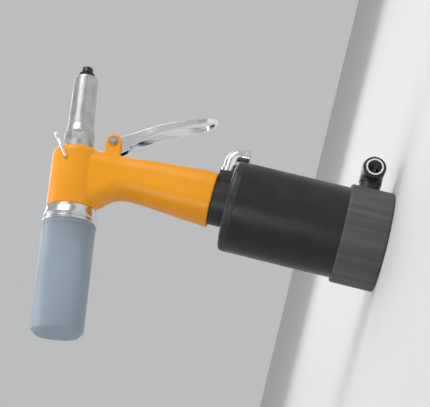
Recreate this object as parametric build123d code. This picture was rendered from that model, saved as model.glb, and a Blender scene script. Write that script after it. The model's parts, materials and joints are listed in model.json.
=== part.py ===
"""Air-hydraulic hand riveter, millimetres.

+Z runs up the air cylinder from the base, +Y is the side the nose points to, +X is the tool's right side.
The origin is the centre of the base's flat underside. Along the tilted barrel, t is the distance from
the barrel's centre towards the nose.
"""
from build123d import *
import math
import os

os.makedirs("parts", exist_ok=True)

# ---- driving dimensions -------------------------------------------------------------------------
NOSE_RISE = 11.0          # degrees that the nose points above the horizontal
BARREL_Z = 262.3          # height of the barrel's centre on the cylinder's axis
BARREL_R = 20.6
BARREL_FRONT = 16.0       # t of the barrel's front face
BARREL_BACK = -37.0       # t of the barrel's rear face
PISTON_BORE_R = 15.5
ROD_R = 8.4               # pulling piston's front rod
RAM_R = 6.5

CYLINDER_R = 38.0
CYLINDER_WALL = 2.0
BOOT_R = 41.2
BOOT_TOP = 36.0
HEAD_DISC_TOP = 131.0     # top of the cylinder head's flat disc
HANDLE_BASE = 144.0       # where the handle meets the cylinder head
SPIGOT_R = 11.2
SPIGOT_BOTTOM = 112.0

PIN_Y, PIN_Z = 28.5, 237.0   # trigger pivot
PIN_R = 2.0
EAR_R = 6.6
EAR_OUTER_X = 9.0
EAR_SLOT_TOP = 243.0
EAR_SLOT_X = 5.2          # half width of the slot between the ears

VALVE_Y = 14.8            # axis of the valve rod, parallel to the cylinder
VALVE_ROD_R = 1.3
SLEEVE_R = 3.1            # valve sleeve
TRANSFER_Y = 21.4
FINGER_TOP = 233.0        # top of the trigger's lifting finger
SPOOL_TOP = 134.6

COLLAR_BACK = -50.5       # t of the collar's rear shoulder, where the bottle begins
BOTTLE_BACK = -143.0
BOTTLE_R = 21.4
BOTTLE_WALL = 1.6

INLET_Z = 20.6
INLET_Y = 57.5            # centre of the swivelling inlet
PORT_R = 5.9              # tapping size of a G 1/4 thread
ELBOW_Y, ELBOW_Z = 45.6, 137.5
RUNNING = 0.05            # radial clearance of a running fit

NOSE = Pos(0, 0, BARREL_Z) * Rot(NOSE_RISE - 90, 0, 0)


# ---- helpers ------------------------------------------------------------------------------------
def turned(*points):
    """A solid of revolution about Z from (radius, height) points."""
    return revolve(Plane.XZ * make_face(Polyline(*points, close=True)), Axis.Z)


def tube(outer, inner, low, high):
    """A plain tube or disc about Z; inner 0 gives a solid bar."""
    body = Pos(0, 0, (low + high) / 2) * Cylinder(outer, high - low)
    if inner:
        body -= Pos(0, 0, (low + high) / 2) * Cylinder(inner, high - low + 2)
    return body


def o_ring(major, minor, height):
    return Pos(0, 0, height) * Torus(major, minor)


def coil(radius, wire, low, high, turns):
    """A compression spring about Z whose end turns are centred on low and high."""
    path = Helix(pitch=(high - low) / turns, height=high - low, radius=radius)
    section = Plane(path @ 0, z_dir=path % 0) * Circle(wire)
    return Pos(0, 0, low) * sweep(section, path=path)


def at_yz(y, z, shape):
    return Pos(0, y, z) * shape


def along_x(shape):
    return Rot(0, 90, 0) * shape


def along_y(shape):
    """Turns +Z to +Y."""
    return Rot(-90, 0, 0) * shape


def hexagon(across_flats, low, high):
    prism = extrude(RegularPolygon(across_flats / 2, 6, major_radius=False), high - low)
    return Pos(0, 0, low) * prism


def box_between(low, high):
    size = [b - a for a, b in zip(low, high)]
    middle = [(a + b) / 2 for a, b in zip(low, high)]
    return Pos(*middle) * Box(*size)


def screw_head(radius, height, socket):
    """A cap screw's head standing on z 0, with its hexagon socket."""
    return tube(radius, 0, 0, height) - hexagon(socket, height * 0.45, height + 1)


# ---- frame casting ------------------------------------------------------------------------------
# Handle shape: height, rear edge y, front edge y, half width along x.
HANDLE_KEYS = [
    (HANDLE_BASE, -21.2, 23.2, 20.2),
    (154.0, -20.5, 23.8, 19.4),
    (170.0, -19.4, 22.6, 17.8),
    (188.0, -17.8, 21.6, 16.4),
    (204.0, -16.6, 20.4, 15.6),
    (216.0, -16.8, 19.2, 15.2),
    (226.0, -20.4, 18.6, 15.2),
    (235.0, -29.0, 18.4, 15.6),
    (250.0, -37.0, 18.0, 16.2),
]
HANDLE_STEPS = 18
HANDLE_ROUNDING = 0.84    # corner radius as a share of the half width


def smooth_at(height):
    """Rear edge, front edge and half width of the handle at a height, on a smooth curve."""
    keys = HANDLE_KEYS
    i = max(k for k in range(len(keys) - 1) if keys[k][0] <= height)
    low, high = keys[i], keys[i + 1]
    before, after = keys[max(i - 1, 0)], keys[min(i + 2, len(keys) - 1)]
    span = high[0] - low[0]
    u = (height - low[0]) / span
    values = []
    for k in (1, 2, 3):
        slope_low = (high[k] - before[k]) / (high[0] - before[0])
        slope_high = (after[k] - low[k]) / (after[0] - low[0])
        rise = (2 * u**3 - 3 * u**2 + 1) * low[k] + (3 * u**2 - 2 * u**3) * high[k]
        rise += (u**3 - 2 * u**2 + u) * span * slope_low + (u**3 - u**2) * span * slope_high
        values.append(rise)
    return values


def handle_skin():
    sections = []
    bottom, top = HANDLE_KEYS[0][0], HANDLE_KEYS[-1][0]
    for step in range(HANDLE_STEPS + 1):
        height = bottom + (top - bottom) * min(step / HANDLE_STEPS, 0.9999)
        rear, front, half_x = smooth_at(height)
        section = RectangleRounded(2 * half_x, front - rear, HANDLE_ROUNDING * half_x)
        sections.append(Pos(0, (rear + front) / 2, height) * section)
    return loft(sections)


def barrel_skin():
    shoulder = 6.5
    body = tube(BARREL_R, 0, BARREL_BACK, BARREL_FRONT)
    return fillet(body.edges().group_by(Axis.Z)[-1], shoulder)


def ear_block():
    """The lug that holds the trigger, a rounded block standing out along the nose's direction."""
    reach = 26.0
    root = Rot(NOSE_RISE, 0, 0) * Pos(0, -reach / 2, 0) * Box(2 * EAR_OUTER_X, reach, 2 * EAR_R)
    tip = along_x(Cylinder(EAR_R, 2 * EAR_OUTER_X))
    return at_yz(PIN_Y, PIN_Z, root + tip)


def frame_casting():
    body = handle_skin() + NOSE * barrel_skin() + ear_block()
    body -= NOSE * tube(60, 0, BARREL_BACK - 60, BARREL_BACK)
    # hydraulic bore, rod gland seat, nose thread and the thread for the rear collar
    bores = tube(PISTON_BORE_R, 0, BARREL_BACK - 1, 4)
    bores += tube(ROD_R + 0.6, 0, 3, BARREL_FRONT + 1)
    bores += tube(11.0, 0, 8, BARREL_FRONT + 1)
    bores += tube(17.5, 0, BARREL_BACK - 1, BARREL_BACK + 9)
    body -= NOSE * bores
    # spigot through the cylinder head, then the ram's oil chamber and the packing seat in it
    body += tube(SPIGOT_R, 0, SPIGOT_BOTTOM, HANDLE_BASE + 1)
    body -= tube(RAM_R + 0.5, 0, SPIGOT_BOTTOM - 1, 236)
    body -= tube(9.0, 0, SPIGOT_BOTTOM - 1, 146)
    # slanting oil way from the ram's chamber to the front of the hydraulic bore
    way = Plane(origin=(0, 0, 233), z_dir=(0, 6, 14)) * Pos(0, 0, 9) * Cylinder(1.8, 18)
    body -= way
    # valve rod's channel and the pocket between the ears where the trigger lifts the rod
    body -= at_yz(VALVE_Y, 0, tube(VALVE_ROD_R + 0.25, 0, HANDLE_BASE - 1, 230))
    body -= box_between((-EAR_SLOT_X, 10.2, 225), (EAR_SLOT_X, 50, EAR_SLOT_TOP))
    body -= at_yz(PIN_Y, PIN_Z, along_x(Cylinder(PIN_R, 40)))
    # notch for the transfer tube at the handle's front lower corner
    body -= at_yz(TRANSFER_Y, 0, tube(3.4, 0, HANDLE_BASE - 1, 151))
    # blind holes for the hanger's ends, and the oil screw's seat on the left side
    for side in (-1, 1):
        body -= NOSE * Pos(side * (BARREL_R - 1), -HANGER_R_UP, HANGER_T) * along_x(Cylinder(1.3, 8))
    body -= OIL_SCREW * tube(2.5, 0, -9, 3)
    body -= OIL_SCREW * tube(5.2, 0, 0, 6)
    return body


# ---- barrel's fixed pieces ----------------------------------------------------------------------
HANGER_T, HANGER_R_UP = 2.0, 6.0        # hanger pivot, t and height above the barrel's axis
HANGER_WIRE = 1.1
HANGER_HALF = BARREL_R + 1.4
HANGER_END = BARREL_R - 3.7                        # half distance between the wire's two ends
HANGER_STRAIGHT = 8.0
HANGER_LEAN = 27.0                       # degrees above the nose's direction, at rest
OIL_SCREW = NOSE * Pos(1.3 - BARREL_R, 0, -16) * Rot(0, -90, 0)

SLEEVE_TIP = 84.0
SLEEVE_BORE_R = 8.5


def nose_sleeve():
    body = turned(
        (SLEEVE_BORE_R, 8.2), (10.9, 8.2), (10.9, BARREL_FRONT), (12.6, BARREL_FRONT),
        (12.6, 31), (12.1, 32), (10.9, 37.5), (10.2, 82), (9.4, SLEEVE_TIP),
        (5.6, SLEEVE_TIP), (5.6, 79), (SLEEVE_BORE_R, 79),
    )
    flats = box_between((-20, -20, 22), (20, 20, 30)) - box_between((-11.6, -21, 21), (11.6, 21, 31))
    return NOSE * (body - flats)


def nosepiece():
    body = turned(
        (0, 70), (3.0, 70), (3.0, 79), (5.4, 79), (5.4, SLEEVE_TIP + 0.2), (6.6, SLEEVE_TIP + 0.2),
        (6.6, 88), (5.2, 89.5), (4.6, 93.5), (3.9, 94.2), (0, 94.2),
    )
    flats = tube(9, 0, SLEEVE_TIP + 0.2, 88) - hexagon(11.6, SLEEVE_TIP + 0.2, 88)
    return NOSE * (body - flats - tube(2.1, 0, 69, 96))


def rod_gland():
    """Bronze bush and lip seal that close the hydraulic bore round the pulling rod."""
    return NOSE * tube(ROD_R + 0.6, ROD_R + RUNNING, 4.0, 8.0)


def rear_collar():
    body = turned(
        (6.4, -44), (13.9, -44), (13.9, -31), (17.4, -31), (17.4, BARREL_BACK), (20.0, BARREL_BACK),
        (20.3, -37.4), (20.5, -39.5), (22.0, -44.6), (22.0, -45.4), (21.2, -46.2), (21.2, -47.2),
        (22.1, -48.2), (22.1, -49.9), (21.5, COLLAR_BACK), (18.0, COLLAR_BACK), (18.0, -57.5),
        (6.4, -57.5),
    )
    groove = tube(19, 16.6, -56.3, -53.9)
    return NOSE * (body - groove)


def bottle_seal():
    return NOSE * o_ring(17.35, 0.74, -55.1)


def return_spring():
    return NOSE * coil(12.2, 1.2, -42.75, -9.25, 5.5)


def oil_screw():
    return OIL_SCREW * (tube(2.4, 0, -3.2, 0.8) + Pos(0, 0, 0.8) * screw_head(4.0, 2.6, 3.0))


def oil_washer():
    return OIL_SCREW * tube(4.6, 2.5, 0.02, 0.78)


# ---- pulling head -------------------------------------------------------------------------------
def pull_piston():
    """Hollow hydraulic piston: the front rod pulls the jaw case, the tail leads spent pins back."""
    body = turned(
        (3.4, -46), (5.4, -46), (6.0, -45), (6.0, -8), (15.42, -8), (15.42, 1.6), (ROD_R, 1.6),
        (ROD_R, 24), (6.0, 24), (6.0, 40), (3.4, 40),
    )
    groove = tube(17, 13.6, -4.6, -1.8)
    return NOSE * (body - groove)


def pull_piston_seal():
    return NOSE * o_ring(14.55, 0.92, -3.2)


def jaw_lock_nut():
    return NOSE * tube(8.2, 6.05, 24.3, 28.0)


def jaw_case():
    return NOSE * turned(
        (6.05, 28.4), (8.2, 28.4), (8.2, 75), (7.2, 76.5), (3.5, 76.5), (3.5, 75), (6.4, 61),
        (6.4, 42), (6.05, 40.5),
    )


def jaws():
    """Three tapered jaws that close on the rivet's pin."""
    cone = turned((1.7, 55), (6.1, 55), (6.1, 60), (4.3, 69.6), (1.7, 69.6))
    gaps = Part() + [
        Rot(0, 0, 120 * i) * Pos(5, 0, 62) * Box(10, 1.0, 20) for i in range(3)
    ]
    return NOSE * (cone - gaps)


def jaw_pusher():
    return NOSE * turned((2.4, 46), (4.0, 46), (4.0, 50), (6.1, 50), (6.1, 54.6), (2.4, 54.6))


def jaw_spring():
    return NOSE * coil(5.05, 0.55, 41.2, 49.2, 5)


# ---- handle and valve ---------------------------------------------------------------------------
def ram_packing():
    return tube(8.95, RAM_R + RUNNING, 122, 145.5)


def packing_nut():
    return tube(8.95, RAM_R + 0.4, SPIGOT_BOTTOM + 1, 121.6) - tube(7.6, 0, 112, 115)


def transfer_tube():
    """Bright tube that carries pilot air across the joint between handle and cylinder head."""
    return at_yz(TRANSFER_Y, 0, tube(2.9, 1.6, 137, 150.4))


def valve_sleeve():
    return at_yz(VALVE_Y, 0, tube(SLEEVE_R, 1.95, 119.1, 143.6))


def valve_rod():
    stem = tube(VALVE_ROD_R, 0, SPOOL_TOP, FINGER_TOP + 1.0)
    head = tube(2.3, 0, FINGER_TOP + 0.3, FINGER_TOP + 2.6)
    return at_yz(VALVE_Y, 0, stem + head)


def valve_spool():
    land = 1.95 - RUNNING
    body = turned(
        (0, 121), (land, 121), (land, 125), (1.2, 125), (1.2, 129), (land, 129), (land, SPOOL_TOP),
        (0, SPOOL_TOP),
    )
    return at_yz(VALVE_Y, 0, body - tube(3, 1.35, 131.3, 132.9))


def spool_seal():
    return at_yz(VALVE_Y, 0, o_ring(1.63, 0.27, 132.1))


def valve_spring():
    return at_yz(VALVE_Y, 0, coil(1.61, 0.2, SPOOL_TOP + 0.25, HANDLE_BASE - 0.25, 6))


# ---- air cylinder -------------------------------------------------------------------------------
def cylinder_head():
    disc = tube(CYLINDER_R, 0, 123.5, HEAD_DISC_TOP)
    disc = fillet(disc.edges().group_by(Axis.Z)[-1], 4.2)
    disc += tube(CYLINDER_R - CYLINDER_WALL, 0, 119, 124)
    neck = tube(19.2, 0, 130, HANDLE_BASE - 0.1)
    chest = box_between((-9, 8, 120), (9, 27.5, HANDLE_BASE - 0.1))
    chest = fillet(chest.edges().filter_by(Axis.Z).group_by(Axis.Y)[-1], 4)
    body = disc + neck + chest
    body -= tube(SPIGOT_R + 0.05, 0, 110, 150)
    body -= at_yz(VALVE_Y, 0, tube(SLEEVE_R, 0, 118, 150))
    body -= at_yz(TRANSFER_Y, 0, tube(2.95, 0, 136.5, 150))
    body -= at_yz(0, ELBOW_Z, along_y(tube(4.05, 0, 22, 30)))
    body -= at_yz(RISER_Y, 0, tube(RISER_R, 0, 110, 127))
    groove = tube(40, 34.4, 120.2, 122.2)
    return body - groove


RISER_Y, RISER_R = 27.0, 3.0


def riser_tube():
    """Carries supply air from the base up through the air piston to the valve."""
    return at_yz(RISER_Y, 0, tube(RISER_R, 2.0, 27.2, 126.5))


def cylinder_nut():
    body = hexagon(32, SPIGOT_BOTTOM + 0.5, 118.8)
    return body - tube(SPIGOT_R + 0.02, 0, 100, 130)


def cylinder_tube():
    body = tube(CYLINDER_R, CYLINDER_R - CYLINDER_WALL, 16, 123.4)
    return body - at_yz(0, INLET_Z, along_y(tube(9.4, 0, 20, 60)))


def tube_seals():
    return Part() + [o_ring(35.2, 0.79, 121.2), o_ring(35.2, 0.79, 30.0)]


def base_plate():
    body = tube(CYLINDER_R - CYLINDER_WALL, 0, 12.2, 35)
    body -= tube(40, 34.4, 29, 31)
    body -= tube(28, 0, 31, 36)
    body -= at_yz(0, INLET_Z, along_y(tube(6.0, 0, 18, 60)))
    body -= at_yz(RISER_Y, 0, tube(RISER_R, 0, 24, 40))
    for angle in BASE_SCREW_ANGLES:
        body -= Rot(0, 0, angle) * at_yz(25, 0, tube(2.1, 0, 5, 24))
    return body


BASE_SCREW_ANGLES = (60, 180, 300)


def base_boot():
    """Rubber cup over the cylinder's lower end; it is also the foot."""
    body = tube(BOOT_R, 0, 0, BOOT_TOP)
    body = fillet(body.edges().group_by(Axis.Z)[-1], 2.2)
    body = fillet(body.edges().group_by(Axis.Z)[0], 2.0)
    body -= tube(CYLINDER_R, 0, 12, BOOT_TOP + 1)
    body -= at_yz(0, INLET_Z, along_y(tube(9.4, 0, 30, 60)))
    for angle in BASE_SCREW_ANGLES:
        screw = Rot(0, 0, angle) * at_yz(25, 0, tube(2.4, 0, -1, 13) + tube(4.6, 0, -1, 10))
        body -= screw
    return body


def base_screws():
    screw = tube(2.1, 0, 9.9, 22) + Pos(0, 0, 10) * Rot(180, 0, 0) * screw_head(4.0, 4.0, 3.0)
    screws = [Rot(0, 0, angle) * at_yz(25, 0, screw) for angle in BASE_SCREW_ANGLES]
    return Part() + screws


def air_piston():
    body = tube(35.5, 0, 41, 50)
    body -= tube(37, 33.8, 43.6, 47.4)
    body -= tube(5.0, 0, 30, 60)
    body -= at_yz(RISER_Y, 0, tube(RISER_R + RUNNING, 0, 30, 60))
    return body


def air_piston_seal():
    return tube(35.9, 33.8, 43.7, 47.3)


def ram_rod():
    return turned((0, 37.5), (5.0, 37.5), (5.0, 50), (RAM_R, 50), (RAM_R, 150.5), (5.5, 152), (0, 152))


def piston_nut():
    return hexagon(17, 37.2, 40.8) - tube(5.0, 0, 30, 50)


# ---- fittings -----------------------------------------------------------------------------------
SWIVEL_START, SWIVEL_END = INLET_Y - 10.0, INLET_Y + 7.5


def inlet_stem():
    """Fixed hollow stem of the swivel, screwed into the base plate, along +Y."""
    profile = turned(
        (2.5, 24), (6.0, 24), (6.0, 36.4), (9.0, 36.4), (9.0, SWIVEL_START - 0.3),
        (5.0, SWIVEL_START - 0.3), (5.0, SWIVEL_END + 1.5), (3.8, SWIVEL_END + 1.5), (3.8, SWIVEL_END + 0.3),
        (2.5, SWIVEL_END + 0.3),
    )
    profile -= tube(6, 4.5, SWIVEL_END + 0.1, SWIVEL_END + 0.9)
    return at_yz(0, INLET_Z, along_y(profile))


def swivel_clip():
    ring = tube(6.2, 4.5, SWIVEL_END + 0.15, SWIVEL_END + 0.85)
    ring -= box_between((-2.2, 0, SWIVEL_END - 1), (2.2, 10, SWIVEL_END + 2))
    return at_yz(0, INLET_Z, along_y(ring))


def swivel_body():
    hub = along_y(tube(9.4, 0, SWIVEL_START, SWIVEL_END))
    port = Pos(0, INLET_Y, 0) * along_x(tube(9.6, 0, 0, 15))
    port = fillet(port.edges().group_by(Axis.X)[-1], 1.0)
    body = hub + port
    body -= along_y(tube(5.0 + RUNNING, 0, 40, 80) + tube(6.6, 0, SWIVEL_END, 80))
    body -= Pos(0, INLET_Y, 0) * along_x(tube(4.0, 0, 0, 10))
    body -= Pos(0, INLET_Y, 0) * along_x(tube(7.2, 0, 5.5, 20))
    return at_yz(0, INLET_Z, body)


def inlet_insert():
    """Bright threaded insert in the swivel's mouth: the air supply screws in here."""
    bush = tube(7.2, PORT_R, 5.6, 16)
    return at_yz(INLET_Y, INLET_Z, along_x(bush))


def exhaust_elbow():
    """Bright elbow that turns the exhaust air down along the cylinder."""
    radius, bend = 5.4, 8.0
    start = (0, 24.5, ELBOW_Z)
    corner = (0, ELBOW_Y, ELBOW_Z)
    end = (0, ELBOW_Y, ELBOW_Z - 13)
    path = FilletPolyline(start, corner, end, radius=bend)
    outer = sweep(Plane(origin=start, z_dir=(0, 1, 0)) * Circle(radius), path=path)
    bore = sweep(Plane(origin=start, z_dir=(0, 1, 0)) * Circle(3.6), path=path)
    body = outer + at_yz(ELBOW_Y, ELBOW_Z - 13, Cylinder(6.2, 3.4))
    body += at_yz(0, ELBOW_Z, along_y(tube(6.4, 0, 27.8, 31.2)))
    body -= at_yz(0, ELBOW_Z, along_y(tube(8, 4.0, 20, 27.7)))
    body -= bore
    return body - at_yz(ELBOW_Y, ELBOW_Z - 13, Cylinder(3.6, 8))


def exhaust_screen():
    """Sintered disc inside the elbow's mouth."""
    return at_yz(ELBOW_Y, ELBOW_Z - 12, tube(3.58, 0, -1, 1))


# ---- trigger and hanger -------------------------------------------------------------------------
LEVER_WALL = 1.5
LEVER_ROOT = EAR_SLOT_X - 0.4            # half width between the ears
# Front face of the lever in the y-z plane, from above the pivot down to the tip.
LEVER_LINE = [(30.5, 241.2), (35.2, 233.0), (52.5, 203.0), (62.0, 180.5), (71.5, 157.0)]
# Depth of the side flanges at the same places.
LEVER_DEPTH = [9.0, 11.0, 7.0, 4.6, 3.0]


def offset_line(depths):
    """LEVER_LINE moved towards the handle by the given depths."""
    moved = []
    for i, (y, z) in enumerate(LEVER_LINE):
        y0, z0 = LEVER_LINE[max(i - 1, 0)]
        y1, z1 = LEVER_LINE[min(i + 1, len(LEVER_LINE) - 1)]
        length = math.hypot(y1 - y0, z1 - z0)
        moved.append((y + (z1 - z0) / length * depths[i], z - (y1 - y0) / length * depths[i]))
    return moved


def side_plate(points, half_width=14.0):
    """Extrudes a y-z outline symmetrically along X."""
    outline = Plane.YZ * make_face(Polyline(*points, close=True))
    return extrude(outline, half_width, both=True)


def lever_prism(inset):
    """The lever's front view, narrow between the ears and widening to a round-ended pad, along Y."""
    root, middle, pad = LEVER_ROOT - inset, 7.4 - inset, 10.3 - inset
    end, tip = pad - 0.9, 157.4 + inset
    side = Spline((root, 229), (middle, 213), (pad, 188), (end, 167), tangents=[(0, -1), (-0.12, -1)])
    arc = ThreePointArc((end, 167), (0, tip), (-end, 167))
    other = Spline((-end, 167), (-pad, 188), (-middle, 213), (-root, 229), tangents=[(-0.12, 1), (0, 1)])
    top = Polyline((-root, 229), (-root, 246 + inset), (root, 246 + inset), (root, 229))
    return extrude(Plane.XZ * make_face([side, arc, other, *top.edges()]), -100)


def trigger_lever():
    """One stamping: a bent front face with a flange all round that deepens towards the pivot."""
    whole = lever_prism(0)
    rim_walls = whole - lever_prism(LEVER_WALL)
    face = side_plate(LEVER_LINE + offset_line([LEVER_WALL] * 5)[::-1]) & whole
    flange_zone = side_plate(LEVER_LINE + offset_line(LEVER_DEPTH)[::-1])
    heel = side_plate([(34, 236), (22.5, 238), (20.6, 229.6), (26.5, 222.5), (36, 224)])
    flanges = (flange_zone + heel) & rim_walls
    reach = LEVER_ROOT - 0.6
    finger = box_between((-reach, 12.2, FINGER_TOP - 2), (reach, 26, FINGER_TOP))
    finger -= box_between((-1.7, 10, 220), (1.7, 18.6, 240))
    body = face + flanges + finger
    return body - at_yz(PIN_Y, PIN_Z, along_x(Cylinder(PIN_R + RUNNING, 40)))


def trigger_pin():
    return at_yz(PIN_Y, PIN_Z, along_x(Cylinder(PIN_R, 2 * EAR_OUTER_X + 3.4)))


def pin_clips():
    ring = tube(3.8, PIN_R, 0, 0.7)
    clips = [Pos(EAR_OUTER_X + 0.3, PIN_Y, PIN_Z) * along_x(ring)]
    clips.append(Pos(-EAR_OUTER_X - 1.0, PIN_Y, PIN_Z) * along_x(ring))
    return Part() + clips


def hanger_bail():
    """Wire loop, drawn standing along local Z with its ends in the barrel's side holes."""
    half, straight, corner, end = HANGER_HALF, HANGER_STRAIGHT, 2.5, HANGER_END
    s = corner * (1 - math.sin(math.radians(45)))
    lines = [
        Line((-end, 0, 0), (-half + corner, 0, 0)),
        ThreePointArc((-half + corner, 0, 0), (-half + s, 0, s), (-half, 0, corner)),
        Line((-half, 0, corner), (-half, 0, straight)),
        ThreePointArc((-half, 0, straight), (0, 0, straight + half), (half, 0, straight)),
        Line((half, 0, straight), (half, 0, corner)),
        ThreePointArc((half, 0, corner), (half - s, 0, s), (half - corner, 0, 0)),
        Line((half - corner, 0, 0), (end, 0, 0)),
    ]
    path = Wire([e for line in lines for e in line.edges()])
    section = Plane(origin=(-end, 0, 0), z_dir=(-1, 0, 0)) * Circle(HANGER_WIRE)
    return HANGER * sweep(section, path=path)


# local +Z of the hanger leans HANGER_LEAN degrees up from the nose's direction
HANGER = NOSE * Pos(0, -HANGER_R_UP, HANGER_T) * Rot(HANGER_LEAN, 0, 0)


# ---- bottle -------------------------------------------------------------------------------------
def mandrel_bottle():
    """Translucent bottle that catches the broken-off rivet pins."""
    outer = turned(
        (0, BOTTLE_BACK), (BOTTLE_R - 4.2, BOTTLE_BACK), (BOTTLE_R - 0.6, BOTTLE_BACK + 3.4),
        (BOTTLE_R - 0.2, BOTTLE_BACK + 5), (BOTTLE_R + 0.3, -54.6), (BOTTLE_R + 0.8, -53.8),
        (BOTTLE_R + 0.8, -51.2), (BOTTLE_R + 0.2, COLLAR_BACK - 0.1), (0, COLLAR_BACK - 0.1),
    )
    inner = turned(
        (0, BOTTLE_BACK + 1.8), (BOTTLE_R - 4.8, BOTTLE_BACK + 1.8), (BOTTLE_R - 2.0, BOTTLE_BACK + 4.6),
        (BOTTLE_R - BOTTLE_WALL, -64), (18.1, -60.5), (18.1, -50), (0, -50),
    )
    return NOSE * (outer - inner)


# ---- export -------------------------------------------------------------------------------------
MAKERS = [
    frame_casting, nose_sleeve, nosepiece, rod_gland, rear_collar, bottle_seal, return_spring,
    oil_screw, oil_washer, pull_piston, pull_piston_seal, jaw_lock_nut, jaw_case, jaws, jaw_pusher,
    jaw_spring, ram_packing, packing_nut, transfer_tube, valve_sleeve, valve_rod, valve_spool,
    spool_seal, valve_spring, cylinder_head, riser_tube, cylinder_nut, cylinder_tube, tube_seals,
    base_plate, base_boot, base_screws, air_piston, air_piston_seal, ram_rod, piston_nut, inlet_stem,
    swivel_clip, swivel_body, inlet_insert, exhaust_elbow, exhaust_screen, trigger_lever, trigger_pin,
    pin_clips, hanger_bail, mandrel_bottle,
]

for make in MAKERS:
    export_step(make(), f"parts/{make.__name__}.step")
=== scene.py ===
"""Looks of the air-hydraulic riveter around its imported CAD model.

Metres, in the CAD's frame: +Z up the air cylinder, +Y the side the nose points to, +X the tool's right.
"""

import json
import math

import bmesh
import bpy
from mathutils import Matrix, Vector


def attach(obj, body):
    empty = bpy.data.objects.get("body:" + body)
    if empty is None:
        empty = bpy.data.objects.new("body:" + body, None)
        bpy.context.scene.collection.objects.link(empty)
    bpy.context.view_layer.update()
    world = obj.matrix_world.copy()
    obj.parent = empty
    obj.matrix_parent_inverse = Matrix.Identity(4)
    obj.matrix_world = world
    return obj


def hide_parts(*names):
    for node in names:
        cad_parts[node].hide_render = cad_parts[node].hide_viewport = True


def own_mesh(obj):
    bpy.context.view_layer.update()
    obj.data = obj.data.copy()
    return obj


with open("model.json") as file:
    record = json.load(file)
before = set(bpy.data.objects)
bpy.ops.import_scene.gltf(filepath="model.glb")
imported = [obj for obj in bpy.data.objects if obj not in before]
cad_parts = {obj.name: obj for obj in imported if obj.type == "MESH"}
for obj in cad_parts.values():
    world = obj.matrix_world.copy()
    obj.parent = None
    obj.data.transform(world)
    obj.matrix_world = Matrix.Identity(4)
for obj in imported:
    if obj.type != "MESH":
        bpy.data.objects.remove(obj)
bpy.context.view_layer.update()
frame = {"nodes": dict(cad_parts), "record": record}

MM = 0.001
NOSE_RISE = math.radians(11.0)       # the barrel's tilt
TO_NOSE_AXIS = math.radians(90.0) - NOSE_RISE

# ---- stage sizes
FLOOR_RADIUS = 9.0
LIGHT_TARGET = Vector((0.0, 0.0, 0.16))
CAMERA_TARGET = Vector((0.011, -0.005, 0.1405))
CAMERA_DISTANCE = 0.80


# ---- materials ----------------------------------------------------------------------------------
class Look:
    """One procedural material, built up from a Principled shader."""

    def __init__(self, name, colour, roughness, edge=0.35, **sockets):
        self.material = bpy.data.materials.new(name)
        self.material.use_nodes = True
        self.tree = self.material.node_tree
        self.shader = self.tree.nodes["Principled BSDF"]
        self.shader.inputs["Base Color"].default_value = (*colour, 1.0)
        self.shader.inputs["Roughness"].default_value = roughness
        for socket, value in sockets.items():
            self.shader.inputs[socket.replace("_", " ")].default_value = value
        self.place = self.node("ShaderNodeTexCoord").outputs["Object"]
        bevel = self.node("ShaderNodeBevel", samples=6)
        bevel.inputs["Radius"].default_value = edge * MM
        self.normal = bevel.outputs["Normal"]
        self.link(self.normal, self.shader.inputs["Normal"])

    def node(self, kind, **values):
        made = self.tree.nodes.new(kind)
        for key, value in values.items():
            setattr(made, key, value)
        return made

    def link(self, out, into):
        self.tree.links.new(out, into)

    def tilted(self):
        """Coordinates whose Z runs along the barrel towards the nose."""
        turn = self.node("ShaderNodeMapping")
        turn.inputs["Rotation"].default_value = (TO_NOSE_AXIS, 0.0, 0.0)
        self.link(self.place, turn.inputs["Vector"])
        return turn.outputs["Vector"]

    def stretched(self, place, scale):
        """Coordinates multiplied by a scale per axis; a small one makes streaks along that axis."""
        mapping = self.node("ShaderNodeMapping")
        mapping.inputs["Scale"].default_value = scale
        self.link(place, mapping.inputs["Vector"])
        return mapping.outputs["Vector"]

    def noise(self, scale, detail=4.0, place=None, rough=0.55, distortion=0.0):
        made = self.node("ShaderNodeTexNoise")
        made.inputs["Scale"].default_value = scale
        made.inputs["Detail"].default_value = detail
        made.inputs["Roughness"].default_value = rough
        made.inputs["Distortion"].default_value = distortion
        self.link(place or self.place, made.inputs["Vector"])
        return made.outputs["Fac"]

    def cells(self, scale):
        made = self.node("ShaderNodeTexVoronoi")
        made.inputs["Scale"].default_value = scale
        self.link(self.place, made.inputs["Vector"])
        return made.outputs["Distance"]

    def spread(self, value, low, high, to_low=0.0, to_high=1.0):
        """Stretches a value's low to high onto to_low to to_high, clamped."""
        made = self.node("ShaderNodeMapRange")
        for socket, number in zip(("From Min", "From Max", "To Min", "To Max"), (low, high, to_low, to_high)):
            made.inputs[socket].default_value = number
        self.link(value, made.inputs["Value"])
        return made.outputs["Result"]

    def times(self, a, b):
        made = self.node("ShaderNodeMath", operation="MULTIPLY")
        for slot, value in enumerate((a, b)):
            if isinstance(value, (int, float)):
                made.inputs[slot].default_value = value
            else:
                self.link(value, made.inputs[slot])
        return made.outputs[0]

    def tint(self, amount, colour):
        """Mixes a colour over what the shader's base colour has so far, by a 0 to 1 value."""
        base = self.shader.inputs["Base Color"]
        mix = self.node("ShaderNodeMix", data_type="RGBA")
        if base.links:
            self.link(base.links[0].from_socket, mix.inputs["A"])
        else:
            mix.inputs["A"].default_value = base.default_value
        mix.inputs["B"].default_value = (*colour, 1.0)
        self.link(amount, mix.inputs["Factor"])
        self.link(mix.outputs["Result"], base)

    def roughen(self, value):
        self.link(value, self.shader.inputs["Roughness"])

    def bump(self, height, depth_mm, strength=1.0):
        made = self.node("ShaderNodeBump")
        made.inputs["Strength"].default_value = strength
        made.inputs["Distance"].default_value = depth_mm * MM
        self.link(height, made.inputs["Height"])
        self.link(self.normal, made.inputs["Normal"])
        self.normal = made.outputs["Normal"]
        self.link(self.normal, self.shader.inputs["Normal"])


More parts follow.
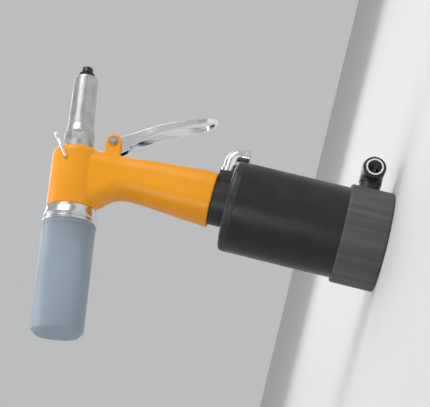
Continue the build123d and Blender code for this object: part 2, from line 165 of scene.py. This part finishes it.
def orange_enamel():
    look = Look(
        "orange_enamel", (0.80, 0.315, 0.004), 0.40, edge=0.9,
        Specular_IOR_Level=0.3, Coat_Weight=0.08, Coat_Roughness=0.2,
    )
    look.tint(look.spread(look.noise(22.0, 3.0), 0.42, 0.72, 0.0, 0.55), (0.74, 0.255, 0.008))
    look.tint(look.spread(look.noise(3200.0, 2.0), 0.6, 0.75, 0.0, 0.25), (0.93, 0.44, 0.05))
    grime = look.times(look.spread(look.noise(55.0, 8.0, rough=0.72), 0.6, 0.78), 0.30)
    look.tint(grime, (0.30, 0.13, 0.02))
    look.roughen(look.spread(look.noise(70.0, 6.0), 0.3, 0.7, 0.28, 0.46))
    look.bump(look.noise(520.0, 2.0), 0.12)
    look.bump(look.noise(90.0, 3.0), 0.35, 0.5)
    return look


def satin_nickel():
    look = Look("satin_nickel", (0.48, 0.48, 0.47), 0.36, Metallic=1.0)
    along = look.tilted()
    rings = look.noise(1.0, 3.0, look.stretched(along, (60.0, 60.0, 5200.0)))
    look.tint(look.spread(look.noise(60.0, 6.0, rough=0.65), 0.45, 0.75, 0.0, 0.75), (0.32, 0.32, 0.32))
    look.roughen(look.spread(look.noise(110.0, 5.0), 0.3, 0.72, 0.27, 0.50))
    look.bump(rings, 0.05, 0.6)
    look.bump(look.noise(420.0, 3.0), 0.03)
    return look


def black_oxide():
    look = Look("black_oxide", (0.045, 0.045, 0.05), 0.36, Metallic=0.85)
    look.tint(look.spread(look.noise(300.0, 5.0), 0.55, 0.75, 0.0, 0.6), (0.16, 0.15, 0.145))
    look.roughen(look.spread(look.noise(180.0, 4.0), 0.3, 0.7, 0.28, 0.48))
    look.bump(look.noise(1500.0, 2.0), 0.02)
    return look


def turned_alloy():
    look = Look("turned_alloy", (0.62, 0.625, 0.63), 0.20, Metallic=1.0)
    along = look.tilted()
    look.bump(look.noise(1.0, 2.0, look.stretched(along, (30.0, 30.0, 6500.0))), 0.035, 0.7)
    look.tint(look.spread(look.noise(75.0, 6.0, rough=0.7), 0.5, 0.8, 0.0, 0.5), (0.42, 0.42, 0.43))
    look.roughen(look.spread(look.noise(95.0, 5.0), 0.3, 0.75, 0.13, 0.33))
    return look


def bright_chrome():
    look = Look("bright_chrome", (0.84, 0.85, 0.86), 0.08, edge=0.3, Metallic=1.0)
    smears = look.noise(48.0, 6.0, rough=0.62, distortion=0.6)
    look.roughen(look.spread(smears, 0.4, 0.75, 0.06, 0.24))
    look.tint(look.spread(smears, 0.55, 0.8, 0.0, 0.35), (0.60, 0.60, 0.60))
    scratches = look.noise(1.0, 2.0, look.stretched(look.place, (2600.0, 120.0, 60.0)))
    look.bump(look.spread(scratches, 0.68, 0.75), 0.01, 0.5)
    return look


def gloss_black():
    look = Look("gloss_black", (0.010, 0.010, 0.011), 0.30, Specular_IOR_Level=0.42)
    look.tint(look.spread(look.noise(28.0, 5.0), 0.45, 0.8, 0.0, 0.6), (0.017, 0.017, 0.018))
    dust = look.spread(look.cells(900.0), 0.0, 0.07, 1.0, 0.0)
    sparse = look.spread(look.noise(90.0, 3.0), 0.55, 0.7)
    look.tint(look.times(dust, sparse), (0.05, 0.05, 0.05))
    look.roughen(look.spread(look.noise(60.0, 7.0, rough=0.66), 0.32, 0.75, 0.22, 0.46))
    look.bump(look.noise(420.0, 2.0), 0.05)
    return look


def satin_black():
    look = Look("satin_black", (0.020, 0.020, 0.022), 0.40, Metallic=0.15)
    look.tint(look.spread(look.noise(140.0, 5.0), 0.5, 0.8, 0.0, 0.8), (0.045, 0.045, 0.047))
    look.roughen(look.spread(look.noise(90.0, 5.0), 0.3, 0.7, 0.34, 0.52))
    look.bump(look.noise(700.0, 3.0), 0.03)
    return look


def boot_rubber():
    look = Look("boot_rubber", (0.060, 0.060, 0.063), 0.62, edge=0.5, Specular_IOR_Level=0.45)
    streaks = look.noise(1.0, 4.0, look.stretched(look.place, (230.0, 230.0, 5.0)))
    # painted sheen: the vertical streaks lighten the base colour where the boot's sheen falls; the same
    # streaks also vary roughness and bump as real texture
    look.tint(look.spread(streaks, 0.42, 0.66, 0.0, 0.65), (0.094, 0.094, 0.099))
    look.tint(look.spread(look.noise(120.0, 7.0, rough=0.7), 0.6, 0.8, 0.0, 0.6), (0.13, 0.13, 0.13))
    look.roughen(look.spread(streaks, 0.35, 0.65, 0.68, 0.50))
    look.bump(look.noise(2100.0, 2.0), 0.03)
    look.bump(streaks, 0.05, 0.5)
    return look


def frosted_plastic():
    look = Look(
        "frosted_plastic", (0.50, 0.58, 0.67), 0.42, edge=0.4,
        Transmission_Weight=0.62, IOR=1.49, Subsurface_Weight=0.12, Subsurface_Scale=0.004,
    )
    cloud = look.noise(40.0, 4.0, rough=0.5)
    look.tint(look.spread(cloud, 0.4, 0.7, 0.0, 0.6), (0.42, 0.50, 0.59))
    along = look.tilted()
    drawn = look.noise(1.0, 3.0, look.stretched(along, (420.0, 420.0, 9.0)))
    look.roughen(look.spread(drawn, 0.3, 0.7, 0.36, 0.52))
    look.bump(drawn, 0.03, 0.5)
    look.bump(look.noise(260.0, 3.0), 0.05, 0.4)
    return look


def ground_steel():
    look = Look("ground_steel", (0.55, 0.55, 0.54), 0.26, Metallic=1.0)
    look.roughen(look.spread(look.noise(200.0, 5.0), 0.3, 0.7, 0.2, 0.36))
    look.tint(look.spread(look.noise(90.0, 5.0), 0.5, 0.75, 0.0, 0.5), (0.40, 0.39, 0.37))
    look.bump(look.noise(1.0, 2.0, look.stretched(look.place, (300.0, 300.0, 4000.0))), 0.02, 0.6)
    return look


def machined_alloy():
    look = Look("machined_alloy", (0.68, 0.68, 0.69), 0.32, Metallic=1.0)
    look.roughen(look.spread(look.noise(150.0, 5.0), 0.3, 0.7, 0.26, 0.44))
    look.tint(look.spread(look.noise(60.0, 5.0), 0.5, 0.75, 0.0, 0.4), (0.52, 0.52, 0.53))
    look.bump(look.noise(1.0, 2.0, look.stretched(look.place, (80.0, 80.0, 3600.0))), 0.03, 0.6)
    return look


def spring_wire():
    look = Look("spring_wire", (0.33, 0.33, 0.34), 0.30, edge=0.1, Metallic=1.0)
    look.roughen(look.spread(look.noise(500.0, 4.0), 0.3, 0.7, 0.22, 0.44))
    look.tint(look.spread(look.noise(250.0, 4.0), 0.5, 0.75, 0.0, 0.6), (0.17, 0.16, 0.15))
    return look


def bronze():
    look = Look("bronze", (0.52, 0.33, 0.14), 0.38, Metallic=1.0)
    look.tint(look.spread(look.noise(180.0, 6.0), 0.5, 0.75, 0.0, 0.7), (0.30, 0.18, 0.08))
    look.roughen(look.spread(look.noise(240.0, 5.0), 0.3, 0.7, 0.3, 0.5))
    look.bump(look.cells(2600.0), 0.08, 0.8)
    return look


def seal_rubber():
    look = Look("seal_rubber", (0.018, 0.018, 0.018), 0.45, edge=0.1)
    look.roughen(look.spread(look.noise(400.0, 4.0), 0.3, 0.7, 0.36, 0.56))
    look.tint(look.spread(look.noise(200.0, 4.0), 0.55, 0.8, 0.0, 0.7), (0.04, 0.04, 0.04))
    return look


LOOKS = {
    "orange_paint": orange_enamel, "nickel_steel": satin_nickel, "dark_steel": black_oxide,
    "bright_collar": turned_alloy, "chrome_plate": bright_chrome, "gloss_black": gloss_black,
    "black_alloy": satin_black, "boot_rubber": boot_rubber, "bottle_plastic": frosted_plastic,
    "inner_steel": ground_steel, "inner_alloy": machined_alloy, "spring_steel": spring_wire,
    "bronze": bronze, "seal_rubber": seal_rubber,
}


def dress_nodes():
    """Gives every CAD node the material of its slot in the record."""
    made = {slot: maker().material for slot, maker in LOOKS.items()}
    for part in frame["record"]["subparts"]:
        node = frame["nodes"][part["node"]]
        node.data.materials.clear()
        node.data.materials.append(made[part["material_slot"]])


def soften_casting():
    """Rounds the casting's inside corners and edges as a sand casting has them."""
    casting = frame["nodes"]["frame_casting"]
    remesh = casting.modifiers.new("remesh", "REMESH")
    remesh.mode = "VOXEL"
    remesh.voxel_size = 0.6 * MM
    remesh.use_smooth_shade = True
    smooth = casting.modifiers.new("smooth", "SMOOTH")
    smooth.factor = 0.5
    smooth.iterations = 7


def compressing_spring(node, piece_name):
    """A copy of a spring, attached to the frame's body, in place of the CAD's."""
    spring = frame["nodes"][node]
    piece = bpy.data.objects.new(piece_name, spring.data.copy())
    bpy.context.scene.collection.objects.link(piece)
    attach(piece, "frame")
    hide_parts(node)
    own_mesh(piece)


def make_springs():
    compressing_spring("return_spring", "return_coil")
    compressing_spring("valve_spring", "valve_coil")


# ---- stage --------------------------------------------------------------------------------------
def flat_look(name, colour, roughness):
    look = Look(name, colour, roughness)
    look.tint(look.spread(look.noise(3.0, 3.0), 0.4, 0.7, 0.0, 0.5), tuple(c * 0.985 for c in colour))
    look.bump(look.noise(350.0, 2.0), 0.02, 0.3)
    return look.material


def make_floor():
    mesh = bpy.data.meshes.new("floor")
    shape = bmesh.new()
    bmesh.ops.create_circle(shape, cap_ends=True, segments=96, radius=FLOOR_RADIUS)
    shape.to_mesh(mesh)
    shape.free()
    floor = bpy.data.objects.new("floor", mesh)
    mesh.materials.append(flat_look("pale_floor", (0.62, 0.62, 0.62), 0.8))
    bpy.context.scene.collection.objects.link(floor)


def soft_light(name, place, size, watts):
    """A square softbox at place, aimed at the tool's middle."""
    lamp = bpy.data.lights.new(name, "AREA")
    lamp.size = size
    lamp.energy = watts
    holder = bpy.data.objects.new(name, lamp)
    holder.location = place
    aim = LIGHT_TARGET - Vector(place)
    holder.rotation_euler = aim.to_track_quat("-Z", "Y").to_euler()
    bpy.context.scene.collection.objects.link(holder)


def make_light():
    world = bpy.data.worlds.new("studio")
    world.use_nodes = True
    background = world.node_tree.nodes["Background"]
    background.inputs["Color"].default_value = (0.93, 0.94, 0.95, 1.0)
    background.inputs["Strength"].default_value = 0.54
    bpy.context.scene.world = world
    bpy.context.scene.view_settings.view_transform = "Standard"
    soft_light("key", (0.75, 0.95, 0.95), 0.8, 11.5)
    soft_light("top", (-0.15, -0.35, 1.5), 0.9, 8.0)
    soft_light("side", (1.3, -0.75, 0.55), 0.6, 4.6)
    soft_light("back", (-1.1, 0.5, 0.8), 0.8, 6.0)


def make_camera():
    """The tool is seen from its right and a little from behind, with the nose's side upwards."""
    right = Vector((0.0, 0.2504, -0.9681))
    up = Vector((0.3420, 0.9097, 0.2353))
    back = right.cross(up).normalized()
    data = bpy.data.cameras.new("camera")
    data.sensor_width = 36.0
    data.lens = 82.0
    camera = bpy.data.objects.new("camera", data)
    turn = Matrix((right, up, back)).transposed().to_4x4()
    camera.matrix_world = Matrix.Translation(CAMERA_TARGET + back * CAMERA_DISTANCE) @ turn
    bpy.context.scene.collection.objects.link(camera)
    bpy.context.scene.camera = camera


dress_nodes()
soften_casting()
make_springs()
make_floor()
make_light()
make_camera()
